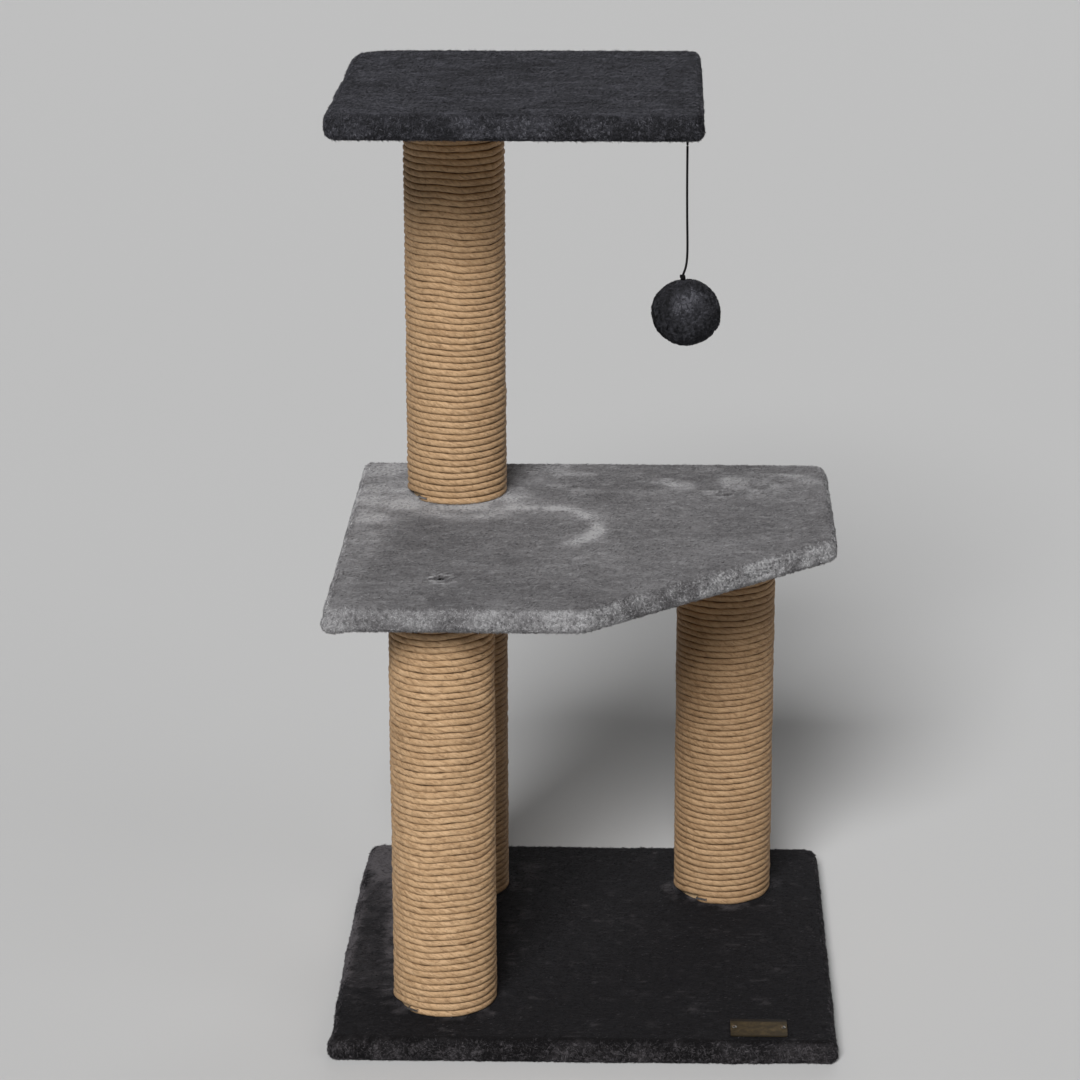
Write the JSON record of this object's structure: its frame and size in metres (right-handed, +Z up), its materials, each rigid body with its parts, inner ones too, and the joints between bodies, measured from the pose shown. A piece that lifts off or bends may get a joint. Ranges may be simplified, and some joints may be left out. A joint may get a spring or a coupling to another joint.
{
  "type": "cat tree",
  "caption": "Small free-standing cat tree with stacked plush platforms on rope-wound posts, a cut corner on the middle platform and a swinging pompom on a cord.",
  "frame": {"origin": "middle of the base's outline, on the floor", "axes": "+Z up, -Y towards the front edge of the base, +X to the right seen from the front"},
  "size_m": [0.4, 0.4, 0.737],
  "materials": {
    "chipboard": "matte",
    "dark_plush": "matte",
    "grey_plush": "matte",
    "card_tube": "matte",
    "paper_rope": "matte",
    "pine": "matte",
    "zinc_steel": "satin",
    "bronze_badge": "satin",
    "black_cord": "matte",
    "pompom_fur": "matte"
  },
  "bodies": {
    "tree": {"base_board": "chipboard", "base_cover": "dark_plush", "middle_board": "chipboard", "middle_cover": "grey_plush", "top_board": "chipboard", "top_cover": "dark_plush", "front_left_post_rope": "paper_rope", "front_left_post_tube": "card_tube", "front_left_post_lower_staple": "zinc_steel", "front_left_post_upper_staple": "zinc_steel", "front_left_post_lower_plug": "pine", "front_left_post_upper_plug": "pine", "front_left_post_lower_insert": "zinc_steel", "front_left_post_upper_insert": "zinc_steel", "rear_left_post_rope": "paper_rope", "rear_left_post_tube": "card_tube", "rear_left_post_lower_staple": "zinc_steel", "rear_left_post_upper_staple": "zinc_steel", "rear_left_post_lower_plug": "pine", "rear_left_post_upper_plug": "pine", "rear_left_post_lower_insert": "zinc_steel", "rear_left_post_upper_insert": "zinc_steel", "rear_right_post_rope": "paper_rope", "rear_right_post_tube": "card_tube", "rear_right_post_lower_staple": "zinc_steel", "rear_right_post_upper_staple": "zinc_steel", "rear_right_post_lower_plug": "pine", "rear_right_post_upper_plug": "pine", "rear_right_post_lower_insert": "zinc_steel", "rear_right_post_upper_insert": "zinc_steel", "upper_post_rope": "paper_rope", "upper_post_tube": "card_tube", "upper_post_lower_staple": "zinc_steel", "upper_post_upper_staple": "zinc_steel", "upper_post_lower_plug": "pine", "upper_post_upper_plug": "pine", "upper_post_lower_insert": "zinc_steel", "upper_post_upper_insert": "zinc_steel", "base_front_left_bolt": "zinc_steel", "base_front_left_washer": "zinc_steel", "base_rear_left_bolt": "zinc_steel", "base_rear_left_washer": "zinc_steel", "base_rear_right_bolt": "zinc_steel", "base_rear_right_washer": "zinc_steel", "middle_front_left_bolt": "zinc_steel", "middle_front_left_washer": "zinc_steel", "middle_rear_right_bolt": "zinc_steel", "middle_rear_right_washer": "zinc_steel", "middle_stud": "zinc_steel", "top_bolt": "zinc_steel", "top_washer": "zinc_steel", "badge_plate": "bronze_badge", "badge_left_rivet": "zinc_steel", "badge_right_rivet": "zinc_steel", "cord_staple": "zinc_steel"},
    "loop": {"cord_loop": "black_cord"},
    "hanging_cord": {"cord": "black_cord", "cord_knot": "black_cord"},
    "ball": {"pompom": "pompom_fur"}
  },
  "joints": [
    {"name": "toy_swing_front_back", "type": "hinge", "parent": "tree", "child": "loop", "pos_m": [0.076, -0.066, 0.714], "axis": [1, 0, 0], "range_deg": [-55, 55]},
    {"name": "toy_swing_side", "type": "hinge", "parent": "loop", "child": "hanging_cord", "pos_m": [0.076, -0.066, 0.7106], "axis": [0, 1, 0], "range_deg": [-55, 55]},
    {"name": "pompom_twist", "type": "hinge", "parent": "hanging_cord", "child": "ball", "pos_m": [0.076, -0.066, 0.6045], "axis": [0, 0, 1], "range_deg": [-180, 180]}
  ]
}
